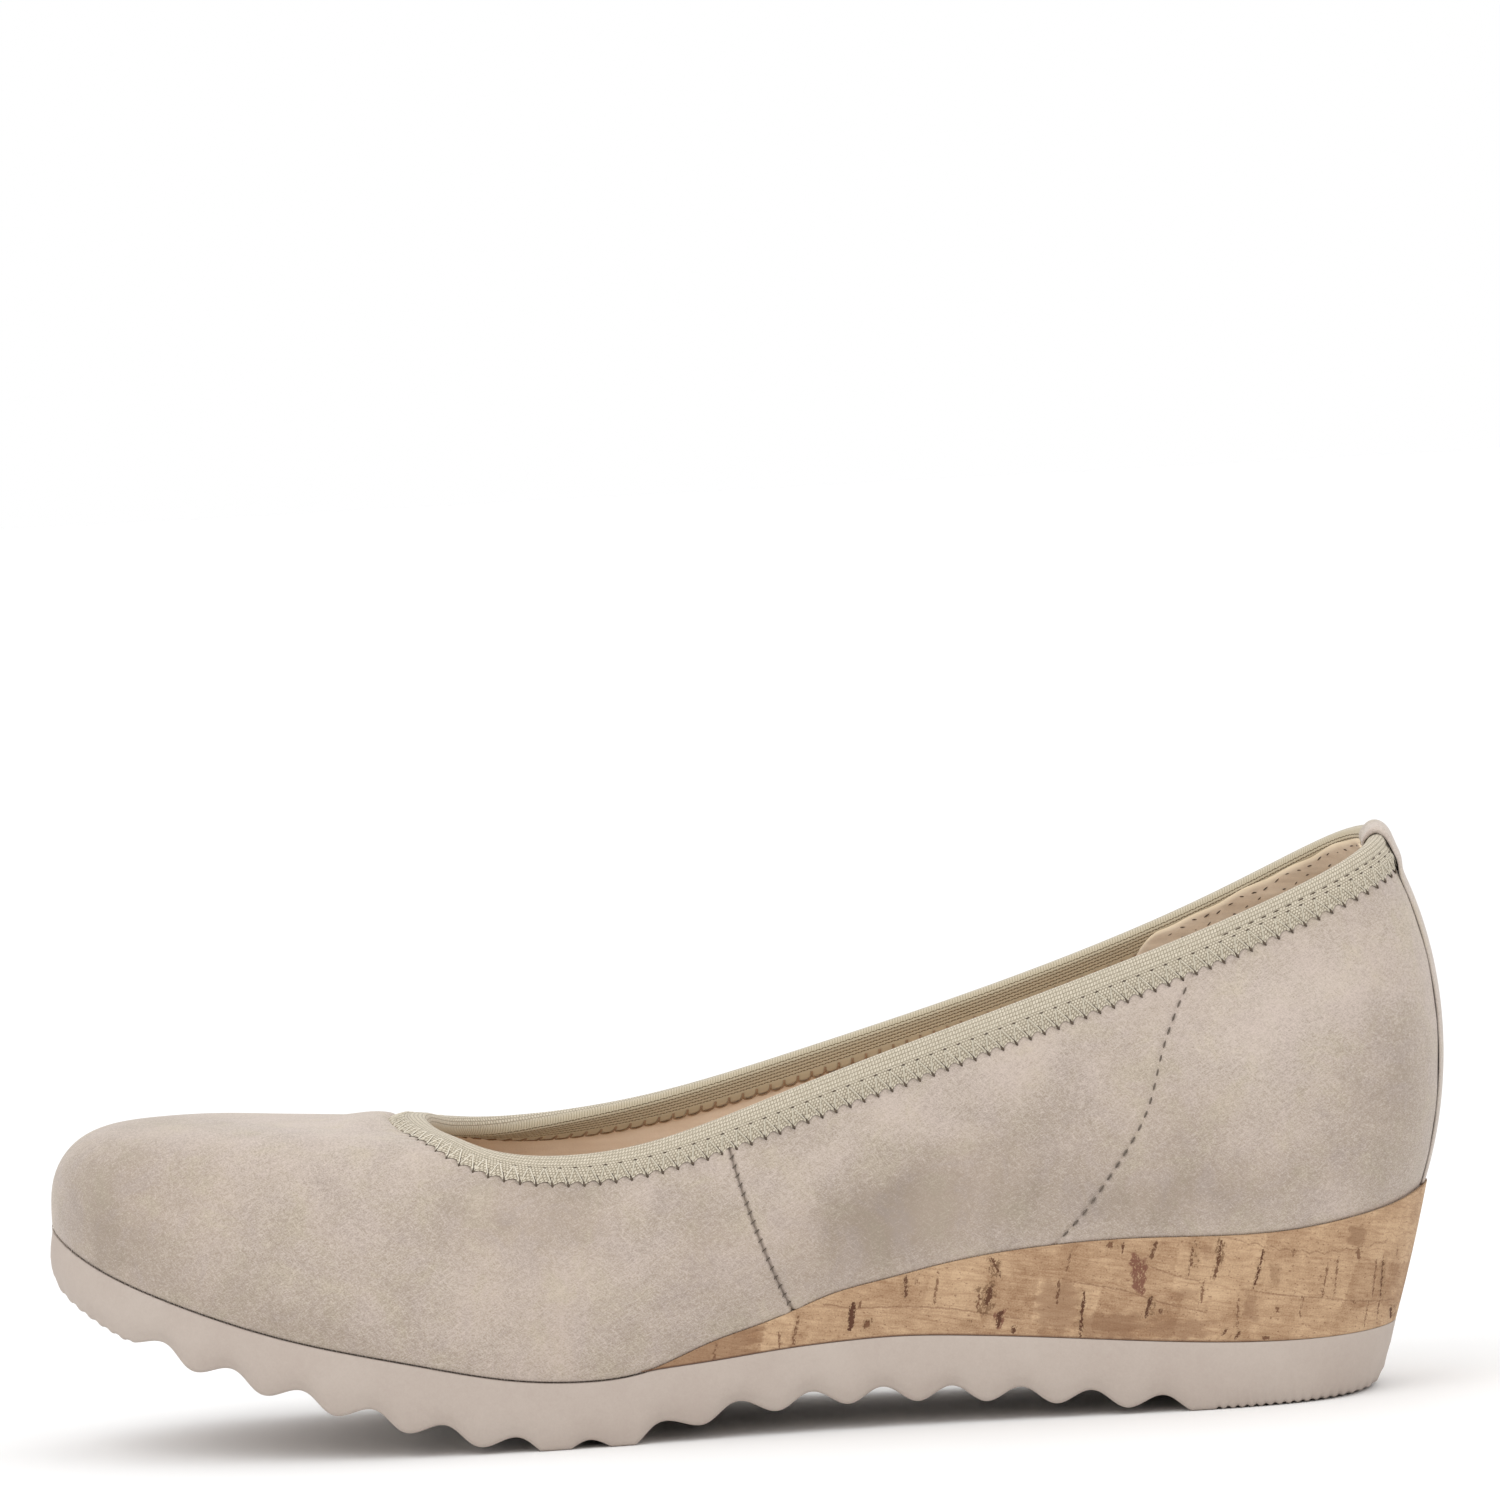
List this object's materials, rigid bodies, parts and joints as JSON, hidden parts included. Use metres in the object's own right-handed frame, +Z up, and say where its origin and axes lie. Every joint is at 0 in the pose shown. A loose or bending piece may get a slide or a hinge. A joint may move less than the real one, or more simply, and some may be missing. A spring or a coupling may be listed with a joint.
{
  "type": "wedge shoe",
  "caption": "Closed wedge pump with a suede shell, elastic collar binding, cork wedge and a wave-tread rubber sole; a left shoe that stands empty on its sole.",
  "frame": {"origin": "on the floor under the middle of the shoe's footprint box", "axes": "+X from toe to heel along the length, -Y to the outer side of the foot, +Z up from the floor"},
  "size_m": [0.2522, 0.0834, 0.1018],
  "materials": {
    "rubber": "matte",
    "cork": "matte cork sheet",
    "suede": "napped suede",
    "elastic": "woven elastic",
    "strip_suede": "napped suede",
    "lining_leather": "smooth lining leather"
  },
  "bodies": {
    "root": {"outsole": "rubber", "wedge": "cork", "upper": "suede", "collar_binding": "elastic", "back_strip": "strip_suede", "insole": "lining_leather"}
  },
  "joints": []
}
